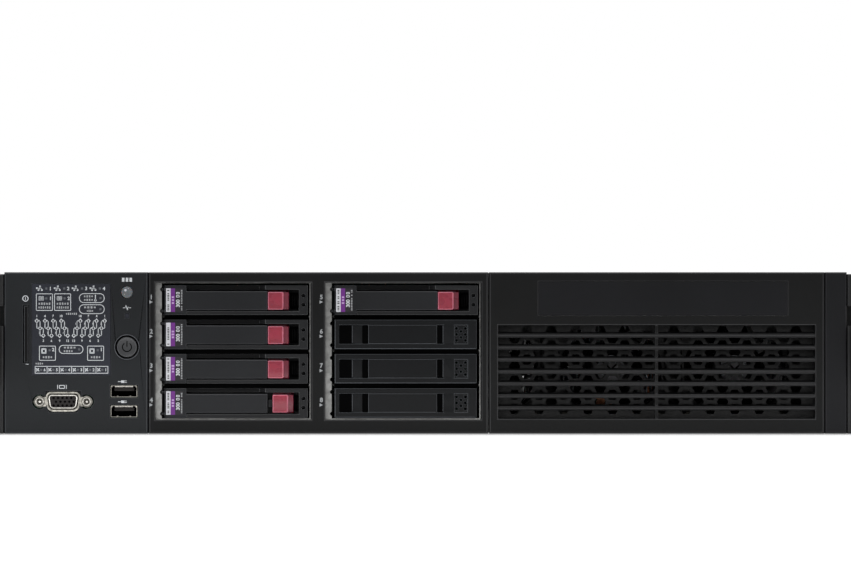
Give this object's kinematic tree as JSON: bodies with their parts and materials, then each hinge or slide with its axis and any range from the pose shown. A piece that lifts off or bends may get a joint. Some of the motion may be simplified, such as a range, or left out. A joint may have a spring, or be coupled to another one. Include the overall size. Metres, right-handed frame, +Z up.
{
  "type": "rack server",
  "caption": "Two-unit rack server with small hot-swap drive bays, a control panel, a louvred air inlet, rear hot-swap power supplies and a lift-off cover.",
  "frame": {"origin": "centre of the footprint, on the surface it stands on", "axes": "+X right and +Y back as seen from the front, +Z up"},
  "size_m": [0.4826, 0.6922, 0.0859],
  "materials": {
    "bezel_black": "fine moulded texture, satin black",
    "panel_black": "fine moulded texture, cool black",
    "overlay": "printed overlay, semi-gloss",
    "carrier_grey": "moulded, satin dark grey",
    "lever_black": "moulded, satin black",
    "latch_red": "translucent burgundy, semi-gloss",
    "steel": "zinc-plated sheet",
    "drive_shell": "cast and machined",
    "supply_shell": "plated sheet, stands for a filled case",
    "screen_black": "powder coat",
    "nickel": "bright nickel plate",
    "insulator": "moulded black",
    "button_dark": "smooth dark",
    "button_clear": "translucent",
    "board_green": "solder mask",
    "fin_aluminium": "extruded",
    "fan_black": "moulded black"
  },
  "bodies": {
    "chassis": {"chassis_tray": "steel", "front_cover": "steel", "drive_cage": "steel", "bay_bezel": "bezel_black", "control_bezel": "panel_black", "status_panel": "overlay", "port_shells": "nickel", "port_inserts": "insulator", "grille_bezel": "bezel_black", "vent_screen": "screen_black", "optical_blank": "bezel_black", "end_cap": "panel_black", "rack_ears": "screen_black", "system_board": "board_green", "heatsinks": "fin_aluminium", "memory_modules": "board_green", "fan_frames": "fan_black", "small_boards": "board_green", "riser_cages": "steel", "rear_ports": "insulator"},
    "carrier_1": {"carrier_1": "carrier_grey", "drive_1": "drive_shell"},
    "lever_1": {"ejector_lever_1": "lever_black"},
    "button_1": {"latch_button_1": "latch_red"},
    "carrier_2": {"carrier_2": "carrier_grey", "drive_2": "drive_shell"},
    "lever_2": {"ejector_lever_2": "lever_black"},
    "button_2": {"latch_button_2": "latch_red"},
    "carrier_3": {"carrier_3": "carrier_grey", "drive_3": "drive_shell"},
    "lever_3": {"ejector_lever_3": "lever_black"},
    "button_3": {"latch_button_3": "latch_red"},
    "carrier_4": {"carrier_4": "carrier_grey", "drive_4": "drive_shell"},
    "lever_4": {"ejector_lever_4": "lever_black"},
    "button_4": {"latch_button_4": "latch_red"},
    "carrier_5": {"carrier_5": "carrier_grey", "drive_5": "drive_shell"},
    "lever_5": {"ejector_lever_5": "lever_black"},
    "button_5": {"latch_button_5": "latch_red"},
    "bay_blank_6": {"bay_blank_6": "lever_black"},
    "bay_blank_7": {"bay_blank_7": "lever_black"},
    "bay_blank_8": {"bay_blank_8": "lever_black"},
    "power_button": {"power_button": "button_dark"},
    "id_button": {"id_button": "button_clear"},
    "info_tab": {"info_tab": "insulator"},
    "ear_lever_left": {"ear_lever_left": "lever_black"},
    "ear_lever_right": {"ear_lever_right": "lever_black"},
    "power_supply_lower": {"power_supply_lower": "supply_shell"},
    "supply_latch_lower": {"supply_latch_lower": "latch_red"},
    "power_supply_upper": {"power_supply_upper": "supply_shell"},
    "supply_latch_upper": {"supply_latch_upper": "latch_red"},
    "access_panel": {"access_panel": "steel"},
    "cover_latch": {"cover_latch": "latch_red"},
    "fan_rotor_1": {"fan_rotor_1": "fan_black"},
    "fan_rotor_2": {"fan_rotor_2": "fan_black"},
    "fan_rotor_3": {"fan_rotor_3": "fan_black"},
    "fan_rotor_4": {"fan_rotor_4": "fan_black"},
    "fan_rotor_5": {"fan_rotor_5": "fan_black"},
    "fan_rotor_6": {"fan_rotor_6": "fan_black"}
  },
  "joints": [
    {"name": "carrier_1_slide", "type": "slide", "parent": "chassis", "child": "carrier_1", "axis": [0, -1, 0], "range_m": [0, 0.12]},
    {"name": "lever_1_hinge", "type": "hinge", "parent": "carrier_1", "child": "lever_1", "pos_m": [-0.1365, -0.3362, 0.07105], "axis": [0, 0, -1], "range_deg": [0, 60]},
    {"name": "button_1_slide", "type": "slide", "parent": "carrier_1", "child": "button_1", "axis": [1, 0, 0], "range_m": [0, 0.003]},
    {"name": "carrier_2_slide", "type": "slide", "parent": "chassis", "child": "carrier_2", "axis": [0, -1, 0], "range_m": [0, 0.12]},
    {"name": "lever_2_hinge", "type": "hinge", "parent": "carrier_2", "child": "lever_2", "pos_m": [-0.1365, -0.3362, 0.0528], "axis": [0, 0, -1], "range_deg": [0, 60]},
    {"name": "button_2_slide", "type": "slide", "parent": "carrier_2", "child": "button_2", "axis": [1, 0, 0], "range_m": [0, 0.003]},
    {"name": "carrier_3_slide", "type": "slide", "parent": "chassis", "child": "carrier_3", "axis": [0, -1, 0], "range_m": [0, 0.12]},
    {"name": "lever_3_hinge", "type": "hinge", "parent": "carrier_3", "child": "lever_3", "pos_m": [-0.1365, -0.3362, 0.03455], "axis": [0, 0, -1], "range_deg": [0, 60]},
    {"name": "button_3_slide", "type": "slide", "parent": "carrier_3", "child": "button_3", "axis": [1, 0, 0], "range_m": [0, 0.003]},
    {"name": "carrier_4_slide", "type": "slide", "parent": "chassis", "child": "carrier_4", "axis": [0, -1, 0], "range_m": [0, 0.12]},
    {"name": "lever_4_hinge", "type": "hinge", "parent": "carrier_4", "child": "lever_4", "pos_m": [-0.1365, -0.3362, 0.0163], "axis": [0, 0, -1], "range_deg": [0, 60]},
    {"name": "button_4_slide", "type": "slide", "parent": "carrier_4", "child": "button_4", "axis": [1, 0, 0], "range_m": [-0.0025, 0.0005]},
    {"name": "carrier_5_slide", "type": "slide", "parent": "chassis", "child": "carrier_5", "axis": [0, -1, 0], "range_m": [0, 0.12]},
    {"name": "lever_5_hinge", "type": "hinge", "parent": "carrier_5", "child": "lever_5", "pos_m": [-0.046, -0.3362, 0.07105], "axis": [0, 0, -1], "range_deg": [0, 60]},
    {"name": "button_5_slide", "type": "slide", "parent": "carrier_5", "child": "button_5", "axis": [1, 0, 0], "range_m": [0, 0.003]},
    {"name": "bay_blank_6_slide", "type": "slide", "parent": "chassis", "child": "bay_blank_6", "axis": [0, -1, 0], "range_m": [0, 0.07]},
    {"name": "bay_blank_7_slide", "type": "slide", "parent": "chassis", "child": "bay_blank_7", "axis": [0, -1, 0], "range_m": [0, 0.07]},
    {"name": "bay_blank_8_slide", "type": "slide", "parent": "chassis", "child": "bay_blank_8", "axis": [0, -1, 0], "range_m": [0, 0.07]},
    {"name": "power_button_push", "type": "slide", "parent": "chassis", "child": "power_button", "axis": [0, 1, 0], "range_m": [0, 0.0012], "stiffness_N_per_m": 400, "springref_m": -0.0006},
    {"name": "id_button_push", "type": "slide", "parent": "chassis", "child": "id_button", "axis": [0, 1, 0], "range_m": [0, 0.0008], "stiffness_N_per_m": 400, "springref_m": -0.0006},
    {"name": "info_tab_slide", "type": "slide", "parent": "chassis", "child": "info_tab", "axis": [0, -1, 0], "range_m": [0, 0.05]},
    {"name": "ear_lever_left_hinge", "type": "hinge", "parent": "chassis", "child": "ear_lever_left", "pos_m": [-0.2329, -0.3375, 0.0241], "axis": [1, 0, 0], "range_deg": [0, 60]},
    {"name": "ear_lever_right_hinge", "type": "hinge", "parent": "chassis", "child": "ear_lever_right", "pos_m": [0.2329, -0.3375, 0.0241], "axis": [1, 0, 0], "range_deg": [0, 60]},
    {"name": "power_supply_lower_slide", "type": "slide", "parent": "chassis", "child": "power_supply_lower", "axis": [0, 1, 0], "range_m": [0, 0.2]},
    {"name": "supply_latch_lower_slide", "type": "slide", "parent": "power_supply_lower", "child": "supply_latch_lower", "axis": [-1, 0, 0], "range_m": [0, 0.003]},
    {"name": "power_supply_upper_slide", "type": "slide", "parent": "chassis", "child": "power_supply_upper", "axis": [0, 1, 0], "range_m": [0, 0.2]},
    {"name": "supply_latch_upper_slide", "type": "slide", "parent": "power_supply_upper", "child": "supply_latch_upper", "axis": [-1, 0, 0], "range_m": [0, 0.003]},
    {"name": "access_panel_lift", "type": "slide", "parent": "chassis", "child": "access_panel", "axis": [0, 0, 1], "range_m": [0, 0.15]},
    {"name": "cover_latch_hinge", "type": "hinge", "parent": "access_panel", "child": "cover_latch", "pos_m": [0, -0.0906, 0.0834], "axis": [-1, 0, 0], "range_deg": [0, 70]},
    {"name": "fan_1_spin", "type": "hinge", "parent": "chassis", "child": "fan_rotor_1", "pos_m": [-0.175, -0.1859, 0.0312], "axis": [0, 1, 0], "continuous": true},
    {"name": "fan_2_spin", "type": "hinge", "parent": "chassis", "child": "fan_rotor_2", "pos_m": [-0.105, -0.1859, 0.0312], "axis": [0, 1, 0], "continuous": true},
    {"name": "fan_3_spin", "type": "hinge", "parent": "chassis", "child": "fan_rotor_3", "pos_m": [-0.035, -0.1859, 0.0312], "axis": [0, 1, 0], "continuous": true},
    {"name": "fan_4_spin", "type": "hinge", "parent": "chassis", "child": "fan_rotor_4", "pos_m": [0.035, -0.1859, 0.0312], "axis": [0, 1, 0], "continuous": true},
    {"name": "fan_5_spin", "type": "hinge", "parent": "chassis", "child": "fan_rotor_5", "pos_m": [0.105, -0.1859, 0.0312], "axis": [0, 1, 0], "continuous": true},
    {"name": "fan_6_spin", "type": "hinge", "parent": "chassis", "child": "fan_rotor_6", "pos_m": [0.175, -0.1859, 0.0312], "axis": [0, 1, 0], "continuous": true}
  ]
}
